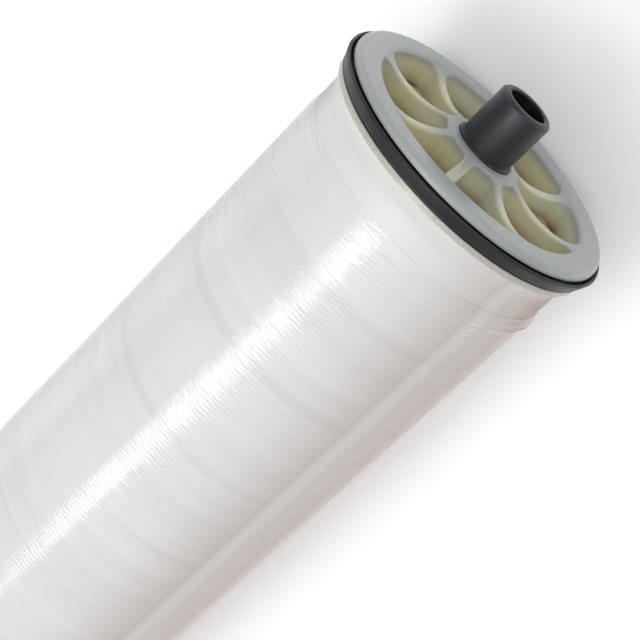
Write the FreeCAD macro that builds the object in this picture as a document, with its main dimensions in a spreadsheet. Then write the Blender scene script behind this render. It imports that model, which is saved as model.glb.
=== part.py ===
"""Four-inch spiral-wound reverse-osmosis membrane element, 1016 mm over its permeate spigots.

Frame: +X along the element's axis towards the feed end, +Z up, the element lying down.
The origin is midway along the element, on the plane it lies on.
Sizes are in millimetres and live in the "sizes" sheet.
"""
import FreeCAD, Part
import math
import os
import Sketcher

os.makedirs("parts", exist_ok=True)
doc = FreeCAD.newDocument("membrane_element")
V = FreeCAD.Vector

# ---------------------------------------------------------------- driving sizes
sheet = doc.addObject("Spreadsheet::Sheet", "sizes")
SIZES = [
    ("overall_length", 1016.0, "tip to tip over the two spigots"),
    ("spigot_radius", 9.525, "three-quarter inch spigot"),
    ("tip_height", 19.2, "spigot tip above the end cap's face"),
    ("shoulder_height", 0.9, "tube shoulder above the hub"),
    ("tube_radius", 10.5, "tube between the spigots"),
    ("bore_radius", 6.75, "permeate bore"),
    ("tip_chamfer", 1.1, "outer edge of the spigot"),
    ("bore_chamfer", 0.5, "inner edge of the spigot"),
    ("hole_diameter", 3.2, "permeate hole in the tube wall"),
    ("hole_spacing", 30.0, "between stations of holes"),
    ("hole_stations", 16.0, "stations in one row"),
    ("rim_radius", 50.0, "end cap rim"),
    ("rim_round", 2.0, "front outer edge of the rim"),
    ("rim_thickness", 2.7, "front flange ahead of the seal groove"),
    ("groove_radius", 46.4, "bottom of the seal groove"),
    ("groove_end", 7.9, "back wall of the seal groove"),
    ("flange_radius", 49.8, "rear flange"),
    ("cap_thickness", 9.8, "face to the end of the roll"),
    ("ramp_radius", 48.9, "top of the ramp under the wrap"),
    ("ramp_end", 12.8, "foot of the ramp"),
    ("skirt_radius", 46.5, "outside of the skirt"),
    ("skirt_inner", 45.3, "inside of the skirt"),
    ("skirt_end", 20.0, "end of the skirt"),
    ("spoke_width", 3.3, "spoke between two windows"),
    ("window_outer", 40.8, "outer end of a window"),
    ("window_inner", 14.3, "hub end of a window"),
    ("window_corner", 4.0, "corner round at the rim"),
    ("window_root", 2.4, "corner round at the hub"),
    ("window_draft", 2.0, "draft of a window's walls, degrees"),
    ("edge_round", 0.9, "front edge of the windows"),
    ("scoop_inner", 13.2, "where the scoop leaves the hub"),
    ("scoop_outer", 42.2, "where the scoop meets the rim"),
    ("scoop_depth", 3.5, "scoop below the face"),
    ("seal_base_radius", 50.2, "base ring of the seal"),
    ("seal_lip_radius", 51.9, "free lip of the seal"),
    ("core_wrap_radius", 11.3, "outside of the carrier wound on the tube"),
    ("leaf_thickness", 0.56, "two membranes and their carrier"),
    ("spacer_thickness", 0.77, "feed spacer net"),
    ("quarter_turns", 24.0, "quarter turns of each sheet"),
    ("tape_radius", 46.5, "outside of the roll tape"),
    ("overwrap_thickness", 0.7, "overwrap wall"),
    ("film_radius", 47.7, "outside of the outer film"),
    ("film_inner", 47.2, "inside of the outer film"),
    ("film_setback", 23.5, "film edge behind the end cap's face"),
]
for number, (alias, value, note) in enumerate(SIZES, start=1):
    sheet.set("A%d" % number, note)
    sheet.set("B%d" % number, repr(value))
    sheet.setAlias("B%d" % number, alias)
doc.recompute()


class Dim:
    """A size as an expression on the sheet, with its present value."""

    def __init__(self, text, value):
        self.text = text
        self.value = float(value)

    def _join(self, other, sign, value, swap=False):
        other_text = other.text if isinstance(other, Dim) else repr(float(other))
        first, second = (other_text, self.text) if swap else (self.text, other_text)
        return Dim("(%s %s %s)" % (first, sign, second), value)

    def __add__(self, other):
        return self._join(other, "+", self.value + number_of(other))

    def __sub__(self, other):
        return self._join(other, "-", self.value - number_of(other))

    def __rsub__(self, other):
        return self._join(other, "-", number_of(other) - self.value, swap=True)

    def __mul__(self, other):
        return self._join(other, "*", self.value * number_of(other))

    def __truediv__(self, other):
        return self._join(other, "/", self.value / number_of(other))


def number_of(item):
    return item.value if isinstance(item, Dim) else float(item)


S = {alias: Dim("sizes." + alias, getattr(sheet, alias)) for alias, _, _ in SIZES}
AXIS_HEIGHT = S["seal_lip_radius"].value
HALF = S["overall_length"].value / 2.0
FACE = HALF - S["tip_height"].value          # the end cap's face from the middle


# ---------------------------------------------------------------- helpers
def new_body(label):
    body = doc.addObject("PartDesign::Body", label)
    body.Label = label
    return body


def origin_plane(body, role):
    for feature in body.Origin.OriginFeatures:
        if feature.Role == role:
            return feature
    raise RuntimeError("no " + role)


def new_sketch(body, name, role, offset=None):
    sketch = body.newObject("Sketcher::SketchObject", name)
    sketch.AttachmentSupport = [(origin_plane(body, role), "")]
    sketch.MapMode = "FlatFace"
    if offset is not None:
        sketch.AttachmentOffset = offset
    return sketch


def bind(sketch, constraint, size, name):
    index = sketch.addConstraint(constraint)
    sketch.renameConstraint(index, name)
    sketch.setExpression("Constraints." + name, size.text)


def as_dim(item):
    return item if isinstance(item, Dim) else Dim(repr(float(item)), item)


def polygon(body, name, points):
    """Closed profile in the XZ plane: (along the axis, radius) pairs, every corner driven by the sheet."""
    sketch = new_sketch(body, name, "XZ_Plane")
    pts = [(as_dim(a), as_dim(b)) for a, b in points]
    count = len(pts)
    for i in range(count):
        a, b = pts[i], pts[(i + 1) % count]
        sketch.addGeometry(Part.LineSegment(V(a[0].value, a[1].value, 0), V(b[0].value, b[1].value, 0)), False)
    for i in range(count):
        sketch.addConstraint(Sketcher.Constraint("Coincident", i, 2, (i + 1) % count, 1))
    for i, (a, b) in enumerate(pts):
        if abs(a.value) < 1e-9:
            sketch.addConstraint(Sketcher.Constraint("PointOnObject", i, 1, -2))
        else:
            bind(sketch, Sketcher.Constraint("DistanceX", -1, 1, i, 1, a.value), a, "x%d" % i)
        bind(sketch, Sketcher.Constraint("DistanceY", -1, 1, i, 1, b.value), b, "r%d" % i)
    doc.recompute()
    return sketch


def revolve(body, sketch, name, kind="PartDesign::Revolution"):
    feature = body.newObject(kind, name)
    feature.Profile = sketch
    feature.ReferenceAxis = (sketch, ["H_Axis"])
    feature.Angle = 360.0
    doc.recompute()
    return feature


def fillet(body, base, names, radius, name):
    feature = body.newObject("PartDesign::Fillet", name)
    feature.Base = (base, names)
    feature.setExpression("Radius", radius.text)
    doc.recompute()
    return feature


def edges_where(shape, test):
    return ["Edge%d" % i for i, edge in enumerate(shape.Edges, start=1) if test(edge)]


def radial(point):
    return math.hypot(point.y, point.z)


def must_shrink(feature, before, what):
    doc.recompute()
    if not feature.Shape.Volume < before - 1.0:
        raise RuntimeError(what + " cut nothing")


# ---------------------------------------------------------------- permeate tube
def permeate_tube():
    """Extruded plastic tube, its ends turned down to spigots, its wall drilled in two crossed rows."""
    body = new_body("permeate_tube")
    length, tip = S["overall_length"], S["tip_height"]
    shoulder = tip - S["shoulder_height"]
    bore, spigot, tube = S["bore_radius"], S["spigot_radius"], S["tube_radius"]
    oc, ic = S["tip_chamfer"], S["bore_chamfer"]
    outline = polygon(body, "tube_outline", [
        (0, bore + ic), (0, spigot - oc), (oc, spigot), (shoulder, spigot), (shoulder, tube - 0.4),
        (shoulder + 0.4, tube), (length - shoulder - 0.4, tube), (length - shoulder, tube - 0.4),
        (length - shoulder, spigot), (length - oc, spigot), (length, spigot - oc), (length, bore + ic),
        (length - ic, bore), (ic, bore)])
    revolve(body, outline, "turned_tube")
    for row, (role, start) in enumerate((("XY_Plane", 0.0), ("XZ_Plane", 0.5))):
        before = body.Tip.Shape.Volume
        sketch = new_sketch(body, "hole_%d" % row, role)
        first = (length - S["hole_spacing"] * (S["hole_stations"] * 2 - 1)) / 2 + S["hole_spacing"] * (2 * start)
        sketch.addGeometry(Part.Circle(V(first.value, 0, 0), V(0, 0, 1), S["hole_diameter"].value / 2), False)
        sketch.addConstraint(Sketcher.Constraint("PointOnObject", 0, 3, -1))
        bind(sketch, Sketcher.Constraint("DistanceX", -1, 1, 0, 3, first.value), first, "station")
        bind(sketch, Sketcher.Constraint("Diameter", 0, S["hole_diameter"].value), S["hole_diameter"], "width")
        doc.recompute()
        pocket = body.newObject("PartDesign::Pocket", "drill_%d" % row)
        pocket.Profile = sketch
        pocket.Midplane = True
        pocket.setExpression("Length", (S["tube_radius"] * 4).text)
        doc.recompute()
        must_shrink(pocket, before, "a permeate hole")
        pattern = body.newObject("PartDesign::LinearPattern", "drill_row_%d" % row)
        pattern.Originals = [pocket]
        pattern.Direction = (sketch, ["H_Axis"])
        pattern.setExpression("Length", (S["hole_spacing"] * (S["hole_stations"] * 2 - 2)).text)
        pattern.Occurrences = int(S["hole_stations"].value)
        body.Tip = pattern
        doc.recompute()
        must_shrink(pattern, pocket.Shape.Volume, "a row of permeate holes")
    body.Placement = FreeCAD.Placement(V(-HALF, 0, AXIS_HEIGHT), FreeCAD.Rotation())
    return body


# ---------------------------------------------------------------- end caps
def end_cap(label, placement):
    """Moulded anti-telescoping cap: rim, seal groove, rear flange, skirt, hub and eight scooped spokes.

    Its own frame has the face at x = 0 and x growing into the element.
    """
    body = new_body(label)
    rim, thick = S["rim_radius"], S["rim_thickness"]
    outline = polygon(body, label + "_outline", [
        (0, S["tube_radius"]), (0, rim), (thick, rim), (thick, S["groove_radius"]),
        (S["groove_end"], S["groove_radius"]), (S["groove_end"], S["flange_radius"]),
        (S["cap_thickness"], S["flange_radius"]), (S["cap_thickness"], S["ramp_radius"]),
        (S["ramp_end"], S["skirt_radius"]), (S["skirt_end"], S["skirt_radius"]),
        (S["skirt_end"], S["skirt_inner"]), (S["cap_thickness"], S["skirt_inner"]),
        (S["cap_thickness"], S["tube_radius"])])
    blank = revolve(body, outline, label + "_blank")

    # the scoop: a shallow annular hollow that dips every spoke between the hub and the rim
    si, so, sd = S["scoop_inner"], S["scoop_outer"], S["scoop_depth"]
    half = (so.value - si.value) / 2
    mid = (so.value + si.value) / 2
    radius = (half ** 2 + sd.value ** 2) / (2 * sd.value)
    scoop = new_sketch(body, label + "_scoop", "XZ_Plane")
    centre = V(sd.value - radius, mid, 0)
    arc = Part.Arc(V(0, si.value, 0), V(sd.value, mid, 0), V(0, so.value, 0))
    scoop.addGeometry(arc, False)
    circle = scoop.Geometry[0]
    start_low = circle.StartPoint.y < circle.EndPoint.y
    low, high = (1, 2) if start_low else (2, 1)
    scoop.addGeometry(Part.LineSegment(V(0, so.value, 0), V(-2, so.value, 0)), False)
    scoop.addGeometry(Part.LineSegment(V(-2, so.value, 0), V(-2, si.value, 0)), False)
    scoop.addGeometry(Part.LineSegment(V(-2, si.value, 0), V(0, si.value, 0)), False)
    scoop.addConstraint(Sketcher.Constraint("Coincident", 0, high, 1, 1))
    scoop.addConstraint(Sketcher.Constraint("Coincident", 1, 2, 2, 1))
    scoop.addConstraint(Sketcher.Constraint("Coincident", 2, 2, 3, 1))
    scoop.addConstraint(Sketcher.Constraint("Coincident", 3, 2, 0, low))
    scoop.addConstraint(Sketcher.Constraint("Horizontal", 1))
    scoop.addConstraint(Sketcher.Constraint("Vertical", 2))
    scoop.addConstraint(Sketcher.Constraint("Horizontal", 3))
    scoop.addConstraint(Sketcher.Constraint("PointOnObject", 0, low, -2))
    scoop.addConstraint(Sketcher.Constraint("PointOnObject", 0, high, -2))
    bind(scoop, Sketcher.Constraint("DistanceY", -1, 1, 0, low, si.value), si, "inner")
    bind(scoop, Sketcher.Constraint("DistanceY", -1, 1, 0, high, so.value), so, "outer")
    bind(scoop, Sketcher.Constraint("Radius", 0, radius),
         ((so - si) * (so - si) / 4 + sd * sd) / (sd * 2), "sweep")
    scoop.addConstraint(Sketcher.Constraint("DistanceX", 2, 1, -1, 1, 2.0))
    doc.recompute()
    groove = revolve(body, scoop, label + "_scooped", "PartDesign::Groove")
    must_shrink(groove, blank.Shape.Volume, "the scoop")

    # one window, a sector between two radial spokes, then eight of them
    turn = FreeCAD.Placement(V(0, 0, -1.0), FreeCAD.Rotation(V(0, 0, 1), 22.5))
    window = new_sketch(body, label + "_window", "YZ_Plane", turn)
    ro, ri, hw = S["window_outer"], S["window_inner"], S["spoke_width"] / 2
    to = math.radians(22.5) - math.asin(hw.value / ro.value)
    ti = math.radians(22.5) - math.asin(hw.value / ri.value)
    o1 = V(ro.value * math.cos(to), ro.value * math.sin(to), 0)
    o2 = V(o1.x, -o1.y, 0)
    i1 = V(ri.value * math.cos(ti), ri.value * math.sin(ti), 0)
    i2 = V(i1.x, -i1.y, 0)
    window.addGeometry(Part.ArcOfCircle(Part.Circle(V(0, 0, 0), V(0, 0, 1), ro.value), -to, to), False)
    window.addGeometry(Part.LineSegment(o1, i1), False)
    window.addGeometry(Part.ArcOfCircle(Part.Circle(V(0, 0, 0), V(0, 0, 1), ri.value), -ti, ti), False)
    window.addGeometry(Part.LineSegment(i2, o2), False)
    window.addConstraint(Sketcher.Constraint("Coincident", 0, 3, -1, 1))
    window.addConstraint(Sketcher.Constraint("Coincident", 2, 3, -1, 1))
    window.addConstraint(Sketcher.Constraint("Coincident", 0, 2, 1, 1))
    window.addConstraint(Sketcher.Constraint("Coincident", 1, 2, 2, 2))
    window.addConstraint(Sketcher.Constraint("Coincident", 2, 1, 3, 1))
    window.addConstraint(Sketcher.Constraint("Coincident", 3, 2, 0, 1))
    bind(window, Sketcher.Constraint("Radius", 0, ro.value), ro, "outer")
    bind(window, Sketcher.Constraint("Radius", 2, ri.value), ri, "inner")
    bind(window, Sketcher.Constraint("Distance", -1, 1, 1, hw.value), hw, "upper_side")
    bind(window, Sketcher.Constraint("Distance", -1, 1, 3, hw.value), hw, "lower_side")
    window.addConstraint(Sketcher.Constraint("Symmetric", 0, 1, 0, 2, -1))
    window.addConstraint(Sketcher.Constraint("Angle", -1, 3, math.radians(-22.5)))
    doc.recompute()
    pocket = body.newObject("PartDesign::Pocket", label + "_window_cut")
    pocket.Profile = window
    pocket.Reversed = True
    pocket.setExpression("Length", (S["cap_thickness"] + 3).text)
    pocket.setExpression("TaperAngle", "-" + S["window_draft"].text)
    doc.recompute()
    must_shrink(pocket, groove.Shape.Volume, "a window")
    pattern = body.newObject("PartDesign::PolarPattern", label + "_windows")
    pattern.Originals = [pocket]
    pattern.Axis = (window, ["N_Axis"])
    pattern.Angle = 360.0
    pattern.Occurrences = 8
    body.Tip = pattern
    doc.recompute()
    must_shrink(pattern, pocket.Shape.Volume, "the windows")
    print(label, "blank", round(blank.Shape.Volume), "one window", round(groove.Shape.Volume - pocket.Shape.Volume),
          "eight", round(groove.Shape.Volume - pattern.Shape.Volume))

    def corner(low, high):
        def test(edge):
            if len(edge.Vertexes) != 2:
                return False
            a, b = edge.Vertexes[0].Point, edge.Vertexes[1].Point
            return (abs(a.x - b.x) > 3 and abs(radial(a) - radial(b)) < 1.0
                    and low < (radial(a) + radial(b)) / 2 < high)
        return test

    outer = edges_where(pattern.Shape, corner(36, 42))
    inner = edges_where(pattern.Shape, corner(13, 19))
    print(label, "corner edges", len(outer), len(inner))
    tip = fillet(body, pattern, outer, S["window_corner"], label + "_rim_corners")
    inner = edges_where(tip.Shape, corner(13, 19))
    tip = fillet(body, tip, inner, S["window_root"], label + "_hub_corners")

    def front(edge):
        box = edge.BoundBox
        if box.XMax > S["scoop_depth"].value + 0.2:
            return False
        radii = [radial(edge.valueAt(edge.FirstParameter + (edge.LastParameter - edge.FirstParameter) * t))
                 for t in (0, 0.25, 0.5, 0.75, 1)]
        return min(radii) > si.value + 0.3 and max(radii) < so.value - 0.2

    names = edges_where(tip.Shape, front)
    print(label, "front edges", len(names))
    tip = fillet(body, tip, names, S["edge_round"], label + "_soft_windows")
    rim_edge = edges_where(tip.Shape, lambda e: e.BoundBox.XMax < 1e-4 and e.BoundBox.YMax > S["rim_radius"].value - 0.01)
    tip = fillet(body, tip, rim_edge, S["rim_round"], label + "_soft_rim")
    body.Tip = tip
    body.Placement = placement
    doc.recompute()
    return body


# ---------------------------------------------------------------- brine seal
def brine_seal(placement):
    """Moulded rubber U-cup: one leg on the groove's floor, a free lip flaring towards the feed."""
    body = new_body("brine_seal")
    low, base, lip, back = S["groove_radius"], S["seal_base_radius"], S["seal_lip_radius"], S["groove_end"]
    outline = polygon(body, "seal_outline", [
        (back, low), (back, base - 0.35), (back - 0.35, base), (back - 1.25, base), (back - 1.75, base + 0.55),
        (3.5, lip), (3.1, lip - 0.1), (2.95, lip - 0.5), (3.1, lip - 1.2), (5.4, base - 0.9),
        (5.75, base - 1.7), (5.5, low + 1.2), (3.3, low + 1.0), (3.3, low)])
    revolve(body, outline, "seal_ring")
    body.Placement = placement
    return body


# ---------------------------------------------------------------- the roll
def pipe(label, inner, outer, start, length):
    """A plain sleeve along the axis, both radii and the length on the sheet."""
    wall = doc.addObject("Part::Cylinder", label + "_outside")
    hole = doc.addObject("Part::Cylinder", label + "_inside")
    for item, radius in ((wall, outer), (hole, inner)):
        item.setExpression("Radius", radius.text)
        item.setExpression("Height", length.text)
        item.Placement = FreeCAD.Placement(V(0, 0, 0), FreeCAD.Rotation(V(0, 1, 0), 90))
    sleeve = doc.addObject("Part::Cut", label)
    sleeve.Label = label
    sleeve.Base = wall
    sleeve.Tool = hole
    sleeve.Placement = FreeCAD.Placement(V(start, 0, AXIS_HEIGHT), FreeCAD.Rotation())
    doc.recompute()
    return sleeve


def spiral_sheet(label, inner_gap, thickness, quarter):
    """One sheet of the roll, wound from the core out in quarter turns.

    The four quarters have their centres on the corners of a small square whose side is the
    thickness of one leaf with its spacer, so the eight sheets lie on each other without a gap.
    """
    step = S["leaf_thickness"].value + S["spacer_thickness"].value
    start = S["core_wrap_radius"].value + step / math.sqrt(2) + 0.02
    turns = int(S["quarter_turns"].value)
    corners = [V(0, step / 2, step / 2), V(0, -step / 2, step / 2),
               V(0, -step / 2, -step / 2), V(0, step / 2, -step / 2)]

    def at(centre, radius, angle):
        return centre + V(0, radius * math.cos(angle), radius * math.sin(angle))

    def side(offset):
        edges = []
        for n in range(turns):
            q = (quarter + n) % 4
            # the centre runs a quarter ahead, so that each quarter starts where the last one ended
            centre = corners[(q + 1) % 4]
            radius = start + step * n + offset
            a0 = q * math.pi / 2
            edges.append(Part.Arc(at(centre, radius, a0), at(centre, radius, a0 + math.pi / 4),
                                  at(centre, radius, a0 + math.pi / 2)).toShape())
        return edges

    inside = side(inner_gap)
    outside = side(inner_gap + thickness)
    first_in, last_in = inside[0].Vertexes[0].Point, inside[-1].Vertexes[-1].Point
    first_out, last_out = outside[0].Vertexes[0].Point, outside[-1].Vertexes[-1].Point
    wire = Part.Wire(inside + [Part.makeLine(last_in, last_out)] + list(reversed(outside))
                     + [Part.makeLine(first_out, first_in)])
    width = 2 * (FACE - S["cap_thickness"].value)
    solid = Part.Face(wire).extrude(V(width, 0, 0))
    item = doc.addObject("Part::Feature", label)
    item.Label = label
    item.Shape = solid
    item.Placement = FreeCAD.Placement(V(-width / 2, 0, AXIS_HEIGHT), FreeCAD.Rotation())
    return item


def overwrap():
    """Tape shell over the roll and both skirts, riding up the ramp to each rear flange."""
    body = new_body("overwrap")
    wall = S["overwrap_thickness"]
    span = S["overall_length"] - S["tip_height"] * 2 - S["cap_thickness"] * 2
    ramp = S["ramp_end"] - S["cap_thickness"]
    outline = polygon(body, "overwrap_outline", [
        (0, S["ramp_radius"]), (ramp, S["skirt_radius"]), (span - ramp, S["skirt_radius"]), (span, S["ramp_radius"]),
        (span, S["ramp_radius"] + wall), (span - ramp, S["skirt_radius"] + wall),
        (ramp, S["skirt_radius"] + wall), (0, S["ramp_radius"] + wall)])
    revolve(body, outline, "overwrap_shell")
    body.Placement = FreeCAD.Placement(V(-(FACE - S["cap_thickness"].value), 0, AXIS_HEIGHT), FreeCAD.Rotation())
    return body


near = FreeCAD.Placement(V(FACE, 0, AXIS_HEIGHT), FreeCAD.Rotation(V(0, 0, 1), 180))
far = FreeCAD.Placement(V(-FACE, 0, AXIS_HEIGHT), FreeCAD.Rotation())
roll_span = S["overall_length"] - S["tip_height"] * 2 - S["cap_thickness"] * 2
tape_span = S["overall_length"] - S["tip_height"] * 2 - S["skirt_end"] * 2
film_span = S["overall_length"] - S["tip_height"] * 2 - S["film_setback"] * 2

parts = [permeate_tube(), end_cap("feed_end_cap", near), end_cap("far_end_cap", far), brine_seal(near),
         pipe("core_carrier_wrap", S["tube_radius"], S["core_wrap_radius"], -roll_span.value / 2, roll_span)]
for leaf in range(4):
    parts.append(spiral_sheet("membrane_leaf_%d" % (leaf + 1), 0.0, S["leaf_thickness"].value, leaf))
    parts.append(spiral_sheet("feed_spacer_%d" % (leaf + 1), S["leaf_thickness"].value,
                              S["spacer_thickness"].value, leaf))
parts.append(pipe("roll_tape", S["skirt_inner"], S["tape_radius"], -tape_span.value / 2, tape_span))
parts.append(overwrap())
parts.append(pipe("outer_film", S["film_inner"], S["film_radius"], -film_span.value / 2, film_span))

doc.recompute()
bad = ["%s %s" % (item.Name, item.State) for item in doc.Objects
       if "Invalid" in item.State or "Error" in item.State]
if bad:
    raise RuntimeError("failed objects: " + "; ".join(bad))
for item in parts:
    shape = item.Shape
    if shape.isNull() or not shape.isValid() or len(shape.Solids) != 1:
        raise RuntimeError("%s is not one sound solid" % item.Label)
for item in parts:
    item.Shape.exportStep("parts/%s.step" % item.Label)
    box = item.Shape.BoundBox
    print("%-20s vol %9.0f  x %.2f..%.2f  y %.2f..%.2f  z %.2f..%.2f" % (
        item.Label, item.Shape.Volume, box.XMin, box.XMax, box.YMin, box.YMax, box.ZMin, box.ZMax))
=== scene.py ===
import math

import bmesh
import bpy
from mathutils import Matrix, Vector, noise


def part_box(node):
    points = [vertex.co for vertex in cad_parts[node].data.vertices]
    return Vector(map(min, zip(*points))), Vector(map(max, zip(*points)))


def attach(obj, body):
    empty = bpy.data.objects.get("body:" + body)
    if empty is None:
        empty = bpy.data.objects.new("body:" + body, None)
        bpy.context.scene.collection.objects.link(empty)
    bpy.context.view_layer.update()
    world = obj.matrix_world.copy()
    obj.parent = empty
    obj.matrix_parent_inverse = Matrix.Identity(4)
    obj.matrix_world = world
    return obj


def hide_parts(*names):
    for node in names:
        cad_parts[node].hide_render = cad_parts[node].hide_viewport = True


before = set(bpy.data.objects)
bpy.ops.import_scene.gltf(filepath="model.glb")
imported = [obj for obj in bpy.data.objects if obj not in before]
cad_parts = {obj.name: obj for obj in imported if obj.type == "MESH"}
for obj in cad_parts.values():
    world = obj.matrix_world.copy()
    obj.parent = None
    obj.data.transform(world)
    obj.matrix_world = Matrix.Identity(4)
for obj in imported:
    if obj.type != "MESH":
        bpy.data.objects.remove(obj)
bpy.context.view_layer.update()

# ------------------------------------------------------------------ places, all from the frame
tube_lo, tube_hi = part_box("permeate_tube")
cap_lo, cap_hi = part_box("feed_end_cap")
seal_lo, seal_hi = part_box("brine_seal")
film_lo, film_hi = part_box("outer_film")
wrap_lo, wrap_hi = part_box("overwrap")
AX = (tube_lo[2] + tube_hi[2]) / 2          # height of the axis
TIP = tube_hi[0]                            # end of the feed spigot
FACE = cap_hi[0]                            # feed cap's face
MM = 0.001

for stale in list(bpy.data.lights):
    bpy.data.lights.remove(stale)


# ------------------------------------------------------------------ node helpers
class Nodes:
    """A short way to write a material's node tree."""

    def __init__(self, name):
        self.material = bpy.data.materials.new(name)
        self.material.use_nodes = True
        self.tree = self.material.node_tree
        self.tree.nodes.clear()
        self.out = self.tree.nodes.new("ShaderNodeOutputMaterial")
        self.bsdf = self.tree.nodes.new("ShaderNodeBsdfPrincipled")
        self.tree.links.new(self.bsdf.outputs[0], self.out.inputs[0])
        self.coord = self.tree.nodes.new("ShaderNodeTexCoord").outputs["Object"]

    def put(self, socket, value):
        if isinstance(value, bpy.types.NodeSocket):
            self.tree.links.new(value, socket)
        elif isinstance(value, (tuple, list)) and len(value) == 3 and socket.type == "RGBA":
            socket.default_value = (*value, 1.0)
        else:
            socket.default_value = value

    def math(self, kind, a, b=0.0, c=0.0, clamp=False):
        node = self.tree.nodes.new("ShaderNodeMath")
        node.operation = kind
        node.use_clamp = clamp
        for socket, value in zip(node.inputs, (a, b, c)):
            self.put(socket, value)
        return node.outputs[0]

    def vec(self, kind, a, b=(0, 0, 0)):
        node = self.tree.nodes.new("ShaderNodeVectorMath")
        node.operation = kind
        self.put(node.inputs[0], a)
        self.put(node.inputs[1], b)
        return node.outputs[0]

    def split(self, vector):
        node = self.tree.nodes.new("ShaderNodeSeparateXYZ")
        self.put(node.inputs[0], vector)
        return node.outputs

    def join(self, x, y, z):
        node = self.tree.nodes.new("ShaderNodeCombineXYZ")
        for socket, value in zip(node.inputs, (x, y, z)):
            self.put(socket, value)
        return node.outputs[0]

    def noise(self, vector, scale=1.0, detail=2.0, rough=0.5, distort=0.0):
        node = self.tree.nodes.new("ShaderNodeTexNoise")
        self.put(node.inputs["Vector"], vector)
        self.put(node.inputs["Scale"], scale)
        self.put(node.inputs["Detail"], detail)
        self.put(node.inputs["Roughness"], rough)
        self.put(node.inputs["Distortion"], distort)
        return node.outputs[0]

    def span(self, value, low, high, to_low=0.0, to_high=1.0, smooth=True):
        node = self.tree.nodes.new("ShaderNodeMapRange")
        node.interpolation_type = "SMOOTHSTEP" if smooth else "LINEAR"
        for socket, item in zip(node.inputs, (value, low, high, to_low, to_high)):
            self.put(socket, item)
        return node.outputs[0]

    def mix(self, factor, a, b, kind="MIX"):
        node = self.tree.nodes.new("ShaderNodeMix")
        node.data_type = "RGBA"
        node.blend_type = kind
        self.put(node.inputs[0], factor)
        self.put(node.inputs[6], a)
        self.put(node.inputs[7], b)
        return node.outputs[2]

    def bump(self, height, distance, strength=1.0, normal=None):
        node = self.tree.nodes.new("ShaderNodeBump")
        node.inputs["Strength"].default_value = strength
        node.inputs["Distance"].default_value = distance
        self.put(node.inputs["Height"], height)
        if normal is not None:
            self.put(node.inputs["Normal"], normal)
        return node.outputs[0]

    def around(self):
        """x, angle round the element's axis (0 at +Y, a quarter at the top) and radius."""
        x, y, z = self.split(self.coord)
        up = self.math("SUBTRACT", z, AX)
        angle = self.math("ARCTAN2", up, y)
        radius = self.math("SQRT", self.math("ADD", self.math("MULTIPLY", y, y), self.math("MULTIPLY", up, up)))
        return x, angle, radius

    def done(self, **sockets):
        names = {"color": "Base Color", "rough": "Roughness", "normal": "Normal", "spec": "Specular IOR Level",
                 "coat": "Coat Weight", "coat_rough": "Coat Roughness", "sheen": "Sheen Weight",
                 "sheen_rough": "Sheen Roughness", "sheen_tint": "Sheen Tint", "sss": "Subsurface Weight",
                 "sss_radius": "Subsurface Radius", "sss_scale": "Subsurface Scale", "ior": "IOR",
                 "coat_normal": "Coat Normal"}
        for key, value in sockets.items():
            self.put(self.bsdf.inputs[names[key]], value)
        return self.material


# ------------------------------------------------------------------ mesh helpers
def new_piece(name, mesh, material, slot, *nodes):
    piece = bpy.data.objects.new(name, mesh)
    bpy.context.scene.collection.objects.link(piece)
    mesh.materials.clear()
    mesh.materials.append(material)
    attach(piece, "root")
    if nodes:
        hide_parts(*nodes)
    return piece


def shade(mesh, degrees=32.0):
    """Smooth shading with a hard edge wherever two faces turn by more than the angle."""
    mesh.shade_smooth()
    mesh.set_sharp_from_angle(angle=math.radians(degrees))


def turned(name, loop, segments, shift=None):
    """A closed outline of (x, r) points turned about the element's axis.

    shift(x, r, angle) gives the moved (x, r) of a point, for what isn't quite round.
    """
    verts, faces = [], []
    count = len(loop)
    for s in range(segments):
        angle = 2 * math.pi * s / segments
        for x, r in loop:
            if shift:
                x, r = shift(x, r, angle)
            verts.append((x, r * math.cos(angle), AX + r * math.sin(angle)))
    for s in range(segments):
        t = (s + 1) % segments
        for i in range(count):
            j = (i + 1) % count
            faces.append((s * count + i, s * count + j, t * count + j, t * count + i))
    mesh = bpy.data.meshes.new(name)
    mesh.from_pydata(verts, [], faces)
    bm = bmesh.new()
    bm.from_mesh(mesh)
    bmesh.ops.recalc_face_normals(bm, faces=bm.faces)
    bm.to_mesh(mesh)
    bm.free()
    mesh.update()
    return mesh


def rounded(points, steps=6):
    """A closed outline with each corner (x, y, radius) replaced by an arc."""
    out = []
    count = len(points)
    for i in range(count):
        p = Vector(points[i][:2])
        radius = points[i][2] if len(points[i]) > 2 else 0.0
        a = Vector(points[i - 1][:2]) - p
        b = Vector(points[(i + 1) % count][:2]) - p
        if radius <= 0 or a.length < 1e-9 or b.length < 1e-9:
            out.append((p.x, p.y))
            continue
        half = a.angle(b) / 2
        cut = min(radius / math.tan(half), a.length * 0.49, b.length * 0.49)
        radius = cut * math.tan(half)
        start, end = p + a.normalized() * cut, p + b.normalized() * cut
        centre = p + (a.normalized() + b.normalized()).normalized() * (radius / math.sin(half))
        va, vb = start - centre, end - centre
        turn = va.angle(vb)
        sign = 1 if va.cross(vb) > 0 else -1
        for k in range(steps + 1):
            t = sign * turn * k / steps
            out.append((centre.x + va.x * math.cos(t) - va.y * math.sin(t),
                        centre.y + va.x * math.sin(t) + va.y * math.cos(t)))
    return out


def near_face(points):
    """From mm behind the feed face and mm from the axis to the object's x and r."""
    return [(FACE - p[0] * MM, p[1] * MM, *(v * MM for v in p[2:])) for p in points]


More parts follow.
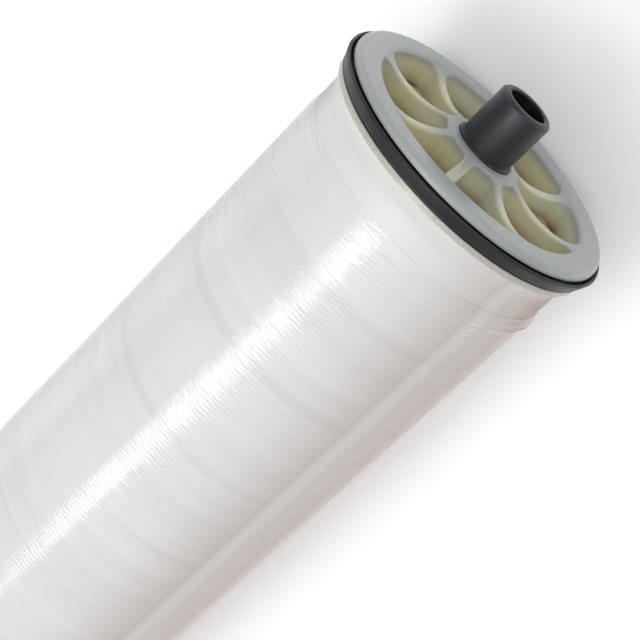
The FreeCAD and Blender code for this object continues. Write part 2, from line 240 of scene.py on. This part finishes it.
# ------------------------------------------------------------------ materials
def tube_material():
    n = Nodes("charcoal_tube_plastic")
    x, angle, radius = n.around()
    grain = n.noise(n.vec("MULTIPLY", n.coord, (900, 900, 900)), 1.0, 3.0)
    broad = n.noise(n.coord, 60.0, 2.0)
    rings = n.noise(n.join(n.math("MULTIPLY", x, 2600.0), 0.0, 0.0), 1.0, 1.0)
    colour = n.mix(broad, (0.024, 0.028, 0.033), (0.034, 0.038, 0.044))
    # inside the bore, painted shade: darker
    inside = n.span(radius, 0.0068, 0.0073, 1.0, 0.0)
    colour = n.mix(inside, colour, (0.012, 0.012, 0.013))
    rough = n.span(n.math("ADD", n.math("MULTIPLY", grain, 0.5), n.math("MULTIPLY", broad, 0.5)), 0.3, 0.7, 0.36, 0.46)
    height = n.math("ADD", grain, n.math("MULTIPLY", rings, 0.6))
    return n.done(color=colour, rough=rough, normal=n.bump(height, 0.00002, 0.6), spec=0.5)


def cap_material():
    n = Nodes("moulded_cap_plastic")
    x, angle, radius = n.around()
    depth = n.math("SUBTRACT", FACE, n.math("ABSOLUTE", x))        # behind either face
    fine = n.noise(n.coord, 1400.0, 3.0, 0.6)
    cloud = n.noise(n.coord, 45.0, 3.0)
    face = n.mix(cloud, (0.400, 0.430, 0.425), (0.445, 0.470, 0.460))
    # the window walls: painted glow of light passing through the plastic, lighter and yellower than the face
    painted_glow_wall = n.mix(n.span(cloud, 0.35, 0.65), (0.760, 0.735, 0.500), (0.700, 0.730, 0.580))
    painted_shade_deep = (0.480, 0.370, 0.170)
    down = n.span(depth, 0.0006, 0.0045)
    inside = n.span(radius, 0.0418, 0.0409)
    colour = n.mix(n.math("MULTIPLY", down, inside), face, painted_glow_wall)
    # deep in the windows, painted shade: darker brown
    low = n.math("MULTIPLY", n.span(depth, 0.0066, 0.0097), inside)
    colour = n.mix(n.math("MULTIPLY", low, n.span(cloud, 0.35, 0.65, 0.25, 0.85)), colour, painted_shade_deep)
    # the rear flange: warm, with a fine speckle
    speck = n.noise(n.coord, 2600.0, 2.0, 0.6)
    rear = n.math("MULTIPLY", n.span(depth, 0.0074, 0.0078), n.span(radius, 0.0470, 0.0480))
    colour = n.mix(rear, colour, n.mix(n.span(speck, 0.42, 0.60), (0.500, 0.480, 0.400), (0.640, 0.620, 0.540)))
    rough = n.span(fine, 0.3, 0.7, 0.26, 0.38)
    return n.done(color=colour, rough=rough, normal=n.bump(fine, 0.00001, 0.2), spec=0.5,
                  sss=0.40, sss_radius=(1.0, 0.92, 0.55), sss_scale=0.0022)


def seal_material():
    n = Nodes("moulded_seal_rubber")
    x, angle, radius = n.around()
    grain = n.noise(n.coord, 1500.0, 3.0, 0.65)
    patch = n.noise(n.coord, 90.0, 3.0)
    colour = n.mix(patch, (0.012, 0.0115, 0.0125), (0.022, 0.020, 0.022))
    colour = n.mix(n.span(grain, 0.62, 0.80), colour, (0.045, 0.043, 0.045))
    rough = n.span(patch, 0.3, 0.7, 0.42, 0.58)
    return n.done(color=colour, rough=rough, normal=n.bump(grain, 0.00003, 0.6), spec=0.5)


def film_material(name, glossy):
    """White wrapping film: hoop-wise wrinkles, faint lapped bands, a woven layer showing through low on one side."""
    n = Nodes(name)
    x, angle, radius = n.around()
    turn = n.math("MULTIPLY", angle, 57.29578)                      # degrees, 90 at the top
    cloud = n.noise(n.coord, 16.0, 3.0)
    # the hoops lie a little off square to the axis
    lean = n.math("MULTIPLY", n.math("COSINE", n.math("SUBTRACT", angle, 1.658)), 0.0070)
    hoop = n.math("ADD", n.math("ABSOLUTE", x), lean)
    around = n.vec("MULTIPLY", n.coord, (0.0, 1.0, 1.0))
    flat = n.vec("ADD", around, n.join(hoop, 0.0, 0.0))
    streak = n.noise(n.vec("MULTIPLY", flat, (150, 4, 4)), 1.0, 3.0, 0.6)
    broad = n.noise(n.vec("MULTIPLY", flat, (42, 5, 5)), 1.0, 1.0, 0.5)
    fine_streak = n.noise(n.vec("MULTIPLY", flat, (560, 14, 14)), 1.0, 2.0, 0.55)
    wander = n.noise(n.vec("MULTIPLY", flat, (9, 6, 6)), 1.0, 2.0)
    phase = n.math("FRACT", n.math("ADD", n.math("MULTIPLY", hoop, 1.0 / 0.0345), n.math("MULTIPLY", wander, 0.35)))
    lap = n.math("MULTIPLY", n.span(phase, 0.03, 0.09), n.span(phase, 0.22, 0.11))

    white = n.mix(cloud, (0.780, 0.776, 0.760), (0.820, 0.817, 0.805))
    colour = n.mix(n.math("MULTIPLY", lap, n.span(streak, 0.35, 0.6, 0.15, 0.55)), white, (0.690, 0.680, 0.662))
    colour = n.mix(n.span(broad, 0.52, 0.75, 0.0, 0.30), colour, (0.700, 0.692, 0.676))
    colour = n.mix(n.span(streak, 0.52, 0.74, 0.0, 0.32), colour, (0.690, 0.680, 0.664))
    colour = n.mix(n.span(streak, 0.46, 0.30, 0.0, 0.45), colour, (0.870, 0.868, 0.858))
    colour = n.mix(n.span(fine_streak, 0.52, 0.80, 0.0, 0.30), colour, (0.880, 0.878, 0.870))

    # low on one side, painted shade with a warm cast of bounced light darkens the film; the layer underneath shows
    # through there as a weave
    painted_shade_side = n.math("MULTIPLY", n.span(turn, 104.0, 146.0), 1.0)
    painted_shade_side = n.math("MAXIMUM", painted_shade_side, n.span(turn, -96.0, -160.0))
    colour = n.mix(n.math("MULTIPLY", painted_shade_side, 0.66), colour, (0.560, 0.470, 0.430))
    # along that edge, a painted red-brown reflection with painted shade
    edge = n.math("MAXIMUM", n.span(turn, 146.0, 166.0), n.span(turn, -128.0, -176.0))
    colour = n.mix(n.math("MULTIPLY", edge, 0.72), colour, (0.400, 0.190, 0.140))
    # toward the other side, painted shade with a pinkish painted reflection
    painted_shade_other_side = n.math("MULTIPLY", n.span(turn, 36.0, 12.0), n.span(turn, -75.0, -10.0))
    colour = n.mix(n.math("MULTIPLY", painted_shade_other_side, 0.62), colour, (0.500, 0.420, 0.405))

    arc = n.math("MULTIPLY", angle, 0.0477)
    one = n.math("SINE", n.math("MULTIPLY", n.math("ADD", n.math("MULTIPLY", x, 0.60), n.math("MULTIPLY", arc, 0.80)), 4600.0))
    two = n.math("SINE", n.math("MULTIPLY", n.math("SUBTRACT", n.math("MULTIPLY", x, 0.60), n.math("MULTIPLY", arc, 0.80)), 4600.0))
    weave = n.math("ADD", n.math("MULTIPLY", n.math("MAXIMUM", one, two), 0.5), 0.5)
    shows = n.math("MAXIMUM", n.span(turn, 122.0, 146.0), n.span(turn, -110.0, -150.0))
    shows = n.math("MULTIPLY", shows, n.span(cloud, 0.35, 0.6, 0.6, 1.0))
    colour = n.mix(n.math("MULTIPLY", n.math("MULTIPLY", shows, 0.42), weave), colour, (0.820, 0.780, 0.745))
    bar = n.math("MULTIPLY", n.span(turn, 134.0, 137.5), n.span(turn, 144.0, 139.5))
    colour = n.mix(n.math("MULTIPLY", bar, 0.40), colour, (0.830, 0.800, 0.770))
    line = n.span(n.math("ABSOLUTE", n.math("SUBTRACT", n.math("ADD", turn, n.math("MULTIPLY", cloud, 3.0)), 134.6)), 1.3, 0.0)
    colour = n.mix(n.math("MULTIPLY", line, 0.25), colour, (0.560, 0.500, 0.470))

    # wrinkles square to the axis, about 1.3 mm apart, the strongest near the ends where the film is drawn tightest
    bend = n.noise(n.vec("MULTIPLY", n.coord, (60, 120, 120)), 1.0, 2.0, 0.6)
    comb = n.math("SINE", n.math("ADD", n.math("MULTIPLY", hoop, 4300.0), n.math("MULTIPLY", bend, 13.0)))
    w1 = n.noise(n.vec("MULTIPLY", flat, (1100, 170, 170)), 1.0, 2.0, 0.6, 0.3)
    w2 = n.noise(n.vec("MULTIPLY", n.coord, (240, 60, 60)), 1.0, 2.0, 0.5, 0.2)
    patch = n.span(n.noise(n.vec("MULTIPLY", n.coord, (55, 40, 40)), 1.0, 2.0), 0.35, 0.65, 0.35, 1.0)
    tight = n.span(n.math("ABSOLUTE", x), 0.330, 0.440, 0.30, 1.0)
    height = n.math("MULTIPLY", n.math("MULTIPLY", comb, 0.28), patch)
    height = n.math("ADD", height, n.math("MULTIPLY", w1, 2.0))
    height = n.math("ADD", height, n.math("MULTIPLY", w2, 1.6))
    height = n.math("MULTIPLY", height, tight)
    normal = n.bump(height, 0.00011 if glossy else 0.00002, 1.0)
    normal = n.bump(n.math("MULTIPLY", weave, shows), 0.00005, 0.5, normal)
    rough = n.span(cloud, 0.3, 0.7, 0.10, 0.15) if glossy else n.span(cloud, 0.3, 0.7, 0.40, 0.50)
    return n.done(color=colour, rough=rough, normal=normal, spec=0.5 if glossy else 0.4)


def roll_material(name, pale, dark, scale):
    """The cut ends of the rolled sheets: tan, fibrous, darker brown towards the outer radius."""
    n = Nodes(name)
    x, angle, radius = n.around()
    fibre = n.noise(n.coord, scale, 4.0, 0.7)
    patch = n.noise(n.coord, 140.0, 3.0)
    colour = n.mix(n.span(fibre, 0.32, 0.68), dark, pale)
    colour = n.mix(n.span(patch, 0.45, 0.72, 0.0, 0.6), colour, (0.230, 0.150, 0.075))
    outer_brown = n.math("MULTIPLY", n.span(n.math("ADD", radius, n.math("MULTIPLY", patch, 0.002)), 0.0385, 0.0400), 0.85)
    colour = n.mix(outer_brown, colour, (0.160, 0.085, 0.030))
    return n.done(color=colour, rough=n.span(fibre, 0.3, 0.7, 0.62, 0.85), normal=n.bump(fibre, 0.00025, 0.8), spec=0.25)


def cloth_material(name, pale, dark):
    n = Nodes(name)
    x, angle, radius = n.around()
    rib = n.math("SINE", n.math("MULTIPLY", x, 5200.0))
    course = n.math("SINE", n.math("MULTIPLY", n.math("MULTIPLY", angle, radius), 6400.0))
    knit = n.math("ADD", n.math("MULTIPLY", n.math("MULTIPLY", rib, course), 0.5), 0.5)
    cloud = n.noise(n.coord, 70.0, 3.0)
    colour = n.mix(n.math("ADD", n.math("MULTIPLY", knit, 0.7), n.math("MULTIPLY", cloud, 0.3)), dark, pale)
    return n.done(color=colour, rough=n.span(cloud, 0.3, 0.7, 0.70, 0.88), normal=n.bump(knit, 0.00010, 0.7), spec=0.3)


def floor_material():
    n = Nodes("studio_floor")
    cloud = n.noise(n.coord, 6.0, 2.0)
    colour = n.mix(cloud, (0.945, 0.945, 0.945), (0.955, 0.955, 0.955))
    n.put(n.bsdf.inputs["Emission Color"], (1.0, 1.0, 1.0))
    n.put(n.bsdf.inputs["Emission Strength"], 0.16)
    return n.done(color=colour, rough=0.9, spec=0.05)


TUBE = tube_material()
CAP = cap_material()
SEAL = seal_material()
FILM = film_material("glossy_wrap_film", True)
WRAP = film_material("satin_overwrap", False)
LEAF = roll_material("membrane_sheet_tan", (0.640, 0.530, 0.370), (0.430, 0.320, 0.190), 2400.0)
NET = roll_material("spacer_net_straw", (0.720, 0.630, 0.460), (0.500, 0.390, 0.240), 1500.0)
CORE = cloth_material("knit_carrier", (0.78, 0.77, 0.72), (0.62, 0.60, 0.55))
TAPE = cloth_material("roll_tape_white", (0.84, 0.83, 0.80), (0.74, 0.73, 0.70))

for node, material in [("core_carrier_wrap", CORE), ("roll_tape", TAPE)] \
        + [("membrane_leaf_%d" % k, LEAF) for k in (1, 2, 3, 4)] \
        + [("feed_spacer_%d" % k, NET) for k in (1, 2, 3, 4)]:
    item = bpy.data.objects[node]
    if not item.material_slots:
        item.data.materials.append(material)
    for slot in item.material_slots:
        slot.material = material

# ------------------------------------------------------------------ permeate tube
R_SPIGOT, R_TUBE, R_BORE = 9.525, 10.5, 6.75
tip = (TIP - FACE) / MM
half = [(-tip, R_BORE + 0.45, 0.25), (-tip, R_SPIGOT - 1.0, 0.55), (-tip + 1.1, R_SPIGOT, 0.7),
        (-0.9, R_SPIGOT, 0.12), (-0.9, R_TUBE, 0.30)]
outline = near_face(half)
outline += [(-p[0], *p[1:]) for p in reversed(outline)]
outline += [(-TIP + 0.45 * MM, R_BORE * MM), (TIP - 0.45 * MM, R_BORE * MM)]
mesh = turned("permeate_tube_fine", rounded(outline), 128)
shade(mesh, 40)
tube = new_piece("tube_turned", mesh, TUBE, "tube_plastic", "permeate_tube")
drill = bmesh.new()
for row in range(2):
    for k in range(16):
        x = (-225 + 30 * k + (15 if row else 0)) * MM
        spin = Matrix.Rotation(math.pi / 2, 4, "X") if row else Matrix.Identity(4)
        bmesh.ops.create_cone(drill, cap_ends=True, segments=20, radius1=1.6 * MM, radius2=1.6 * MM, depth=30 * MM,
                              matrix=Matrix.Translation((x, 0, AX)) @ spin)
bits = bpy.data.meshes.new("drill_bits")
drill.to_mesh(bits)
drill.free()
bit = bpy.data.objects.new("drill_bits", bits)
bpy.context.scene.collection.objects.link(bit)
cut = tube.modifiers.new("holes", "BOOLEAN")
cut.operation, cut.object, cut.solver = "DIFFERENCE", bit, "EXACT"
bpy.context.view_layer.update()
drilled = bpy.data.meshes.new_from_object(tube.evaluated_get(bpy.context.evaluated_depsgraph_get()))
tube.modifiers.clear()
drilled.name = "permeate_tube_drilled"
tube.data = drilled
shade(drilled, 40)
bpy.data.objects.remove(bit)
bpy.data.meshes.remove(bits)

# ------------------------------------------------------------------ brine seal
# a U-cup: inner leg on the groove's floor, outer leg flaring to a free lip, open towards the feed
seal_profile = near_face([
    (7.90, 46.40, 0.10), (7.90, 50.20, 0.45), (6.90, 50.28, 0.30), (6.35, 50.72, 0.5), (3.60, 51.90, 0.35),
    (2.95, 51.55, 0.28), (3.05, 50.85, 0.25), (5.40, 49.30, 0.8), (5.75, 48.20, 0.9), (5.45, 47.35, 0.5),
    (3.30, 47.35, 0.18), (3.30, 46.40, 0.10)])


def seal_wave(x, r, angle):
    """The free lip isn't perfectly true: it lies a little in and out round the ring."""
    free = max(0.0, (r - 0.0502) / 0.0017)
    ripple = 0.10 * math.sin(3 * angle + 0.6) + 0.06 * math.sin(7 * angle + 2.0) + 0.03 * math.sin(19 * angle)
    return x + free * ripple * 0.0003, r - free * (0.00010 + 0.0004 * max(0.0, ripple))


mesh = turned("brine_seal_fine", rounded(seal_profile), 384, seal_wave)
shade(mesh, 38)
new_piece("seal_moulded", mesh, SEAL, "seal_rubber", "brine_seal")

# ------------------------------------------------------------------ end caps
for node, name in (("feed_end_cap", "cap_feed_moulded"), ("far_end_cap", "cap_far_moulded")):
    source = bpy.data.objects[node].data
    mesh = bpy.data.meshes.new(name)
    mesh.from_pydata([v.co[:] for v in source.vertices], [], [p.vertices[:] for p in source.polygons])
    bm = bmesh.new()
    bm.from_mesh(mesh)
    bmesh.ops.remove_doubles(bm, verts=bm.verts, dist=2e-6)
    bmesh.ops.dissolve_degenerate(bm, edges=bm.edges, dist=1e-6)
    bm.to_mesh(mesh)
    bm.free()
    shade(mesh, 30)
    cap = new_piece(name, mesh, CAP, "cap_plastic", node)
    weigh = cap.modifiers.new("normals", "WEIGHTED_NORMAL")
    weigh.keep_sharp = True
    weigh.weight = 100
    weigh.mode = "FACE_AREA_WITH_ANGLE"

# ------------------------------------------------------------------ overwrap and outer film
WRAP_END = wrap_hi[0]
FILM_END = film_hi[0]


def tape_step(x, angle, pitch=0.0375, rise=0.00011):
    """Height of the lapped tape: each turn climbs over the edge of the one before it."""
    phase = (x / pitch + angle / (2 * math.pi)) % 1.0
    return rise * (1.0 - phase) if phase > 0.06 else rise * phase / 0.06


def wrinkle(x, angle):
    """Small hoop-wise wrinkles in the drawn film."""
    p = Vector((x * 330.0, 1.6 * math.cos(angle), 1.6 * math.sin(angle)))
    return (noise.noise(p) + 0.5 * noise.noise(p * 2.1)) * 0.00005


def sleeve(name, xs, outer, inner, segments):
    """A closed sleeve: outer(x, angle) and inner(x) give the two radii."""
    verts, faces = [], []
    rows = len(xs)
    for s in range(segments):
        angle = 2 * math.pi * s / segments
        c, q = math.cos(angle), math.sin(angle)
        for x in xs:
            r = outer(x, angle)
            verts.append((x, r * c, AX + r * q))
    base = len(verts)
    thin = [xs[0], *[x for x in xs[1:-1] if inner(x) != inner(xs[0])], xs[-1]]
    thin = sorted(set([xs[0], xs[-1]] + inner.stops)) if hasattr(inner, "stops") else [xs[0], xs[-1]]
    for s in range(segments):
        angle = 2 * math.pi * s / segments
        c, q = math.cos(angle), math.sin(angle)
        for x in thin:
            r = inner(x)
            verts.append((x, r * c, AX + r * q))
    m = len(thin)
    for s in range(segments):
        t = (s + 1) % segments
        for i in range(rows - 1):
            faces.append((s * rows + i, s * rows + i + 1, t * rows + i + 1, t * rows + i))
        for i in range(m - 1):
            faces.append((base + s * m + i, base + t * m + i, base + t * m + i + 1, base + s * m + i + 1))
        faces.append((s * rows, t * rows, base + t * m, base + s * m))
        faces.append((s * rows + rows - 1, base + s * m + m - 1, base + t * m + m - 1, t * rows + rows - 1))
    mesh = bpy.data.meshes.new(name)
    mesh.from_pydata(verts, [], faces)
    bm = bmesh.new()
    bm.from_mesh(mesh)
    bmesh.ops.recalc_face_normals(bm, faces=bm.faces)
    bm.to_mesh(mesh)
    bm.free()
    mesh.update()
    shade(mesh, 40)
    return mesh


def wrap_outer(x, angle):
    a = (WRAP_END - abs(x)) / MM             # mm in from the end of the overwrap
    ramp = 3.0
    r = 47.2 + (2.4 * (1 - a / ramp) if a < ramp else 0.0)
    if a < 6.0:                               # the ramp runs out in a soft curve
        t = a / 6.0
        r = 49.6 + (47.2 - 49.6) * (t * t * (3 - 2 * t)) ** 0.62
    if a < 0.35:
        r -= 0.18 * (1 - a / 0.35)
    return min(r, 49.6) * MM - 0.00002


def wrap_inner(x):
    a = (WRAP_END - abs(x)) / MM
    return (46.5 + (2.4 * (1 - a / 3.0) if a < 3.0 else 0.0)) * MM


wrap_inner.stops = [-WRAP_END + 0.003, WRAP_END - 0.003]
ends = [0.0, 0.12, 0.25, 0.35, 0.6, 0.9, 1.2, 1.6, 2.0, 2.5, 3.0, 3.5, 4.0, 4.6, 5.2, 6.0, 7.0, 8.0, 9.0, 10.0, 11.0, 12.0, 13.0, 14.0, 16.0]
xs = [-WRAP_END + e * MM for e in ends] + [WRAP_END - e * MM for e in reversed(ends)]
mesh = sleeve("overwrap_fine", xs, wrap_outer, wrap_inner, 256)
new_piece("overwrap_shell", mesh, WRAP, "wrap_film", "overwrap")


def film_outer(x, angle):
    e = (FILM_END - abs(x)) / MM              # mm in from the film's edge
    t = min(1.0, e / 3.2)
    r = 47.27 + 0.40 * t * t * (3 - 2 * t)    # thin at its edge
    turn = math.degrees(angle) % 360
    # a fold 5 mm behind the edge begins at the top, and stands prouder down one side
    if turn < 88:
        low = 0.0
    elif turn < 180:
        low = ((turn - 88) / 92) ** 1.8
    else:
        low = max(0.0, 1 - (turn - 180) / 120) ** 1.2
    if x < 0:
        low *= 0.4
    wave = 0.25 * math.sin(math.radians(turn) * 5 + 1.0)
    fold = math.exp(-((e - 4.8 - wave) / 0.42) ** 2) * (0.75 * low + (0.05 if 88 < turn < 300 else 0.0))
    swell = math.exp(-((e - 2.9) / 1.7) ** 2) * 0.55 * low
    return (r + fold + swell) * MM + (wrinkle(x, angle) if e > 0.6 else 0.0)


def film_inner(x):
    return 0.0472


near_ends = [0.0, 0.15, 0.3, 0.5, 0.9, 1.4, 1.9, 2.4, 2.9, 3.4, 3.8, 4.1, 4.4, 4.7, 5.0, 5.3, 5.6, 6.0, 6.5, 7.1, 8.0]
body = []
step = 0.0026
x = -FILM_END + 0.008 + step
while x < FILM_END - 0.008 - step * 0.5:
    body.append(x)
    x += step
xs = [-FILM_END + e * MM for e in near_ends] + body + [FILM_END - e * MM for e in reversed(near_ends)]
mesh = sleeve("outer_film_fine", xs, film_outer, film_inner, 224)
new_piece("outer_film_shell", mesh, FILM, "wrap_film", "outer_film")

# ------------------------------------------------------------------ floor, light, camera
floor_mesh = bpy.data.meshes.new("studio_floor")
size = 6.0
floor_mesh.from_pydata([(-size, -size, 0), (size, -size, 0), (size, size, 0), (-size, size, 0)], [], [(0, 1, 2, 3)])
floor_mesh.materials.append(floor_material())
floor = bpy.data.objects.new("studio_floor", floor_mesh)
bpy.context.scene.collection.objects.link(floor)

world = bpy.data.worlds.new("studio")
bpy.context.scene.world = world
world.use_nodes = True
world.node_tree.nodes["Background"].inputs["Color"].default_value = (0.97, 0.985, 1.0, 1.0)
world.node_tree.nodes["Background"].inputs["Strength"].default_value = 0.26


def lamp(name, spot, aim, width, depth, power, colour=(1, 1, 1), roll=0.0):
    data = bpy.data.lights.new(name, "AREA")
    data.shape = "RECTANGLE"
    data.size, data.size_y = width, depth
    data.energy = power
    data.color = colour
    item = bpy.data.objects.new(name, data)
    bpy.context.scene.collection.objects.link(item)
    item.location = spot
    item.rotation_euler = (Vector(aim) - Vector(spot)).to_track_quat("-Z", "Y").to_euler()
    item.rotation_euler.rotate_axis("Z", roll)
    return item


aim = Vector((0.42, 0.0, AX + 0.045))
lamp("key_softbox", aim + 1.6 * Vector((-0.42, 0.22, 0.87)).normalized(), aim, 0.40, 0.90, 8.0)
lamp("wide_softbox", aim + 2.6 * Vector((-0.05, 0.05, 0.95)).normalized(), aim, 2.2, 2.2, 34.0)
lamp("face_fill", aim + 2.2 * Vector((0.85, -0.25, 0.42)).normalized(), aim, 1.4, 1.4, 7.0)

# the camera looks down on the lying element from beyond its feed end
u = Vector((0.6501, -0.6313, -0.4228)).normalized()
ahead = Vector((0, 0, 1))
e2 = (ahead - ahead.dot(u) * u).normalized()
e1 = e2.cross(u)
phi = math.radians(88.4)
y_axis = -math.sin(phi) * e1 + math.cos(phi) * e2
z_axis = -math.cos(phi) * e1 - math.sin(phi) * e2
rim_centre = Vector((FACE - 0.002, 0.0, AX))
seen = Vector((0.0484, -0.0504, 0.5497))
place = rim_centre - Vector((u.dot(seen), y_axis.dot(seen), z_axis.dot(seen)))
right = Vector((u.x, y_axis.x, z_axis.x))
up = -Vector((u.y, y_axis.y, z_axis.y))
back = -Vector((u.z, y_axis.z, z_axis.z))
data = bpy.data.cameras.new("camera")
data.sensor_width = 36.0
data.lens = 1816.3 * 36.0 / 640.0
data.clip_start, data.clip_end = 0.01, 50.0
camera = bpy.data.objects.new("camera", data)
bpy.context.scene.collection.objects.link(camera)
camera.matrix_world = Matrix((
    (right.x, up.x, back.x, place.x), (right.y, up.y, back.y, place.y),
    (right.z, up.z, back.z, place.z), (0, 0, 0, 1)))
bpy.context.scene.camera = camera
bpy.context.scene.view_settings.view_transform = "Standard"
bpy.context.scene.view_settings.look = "None"
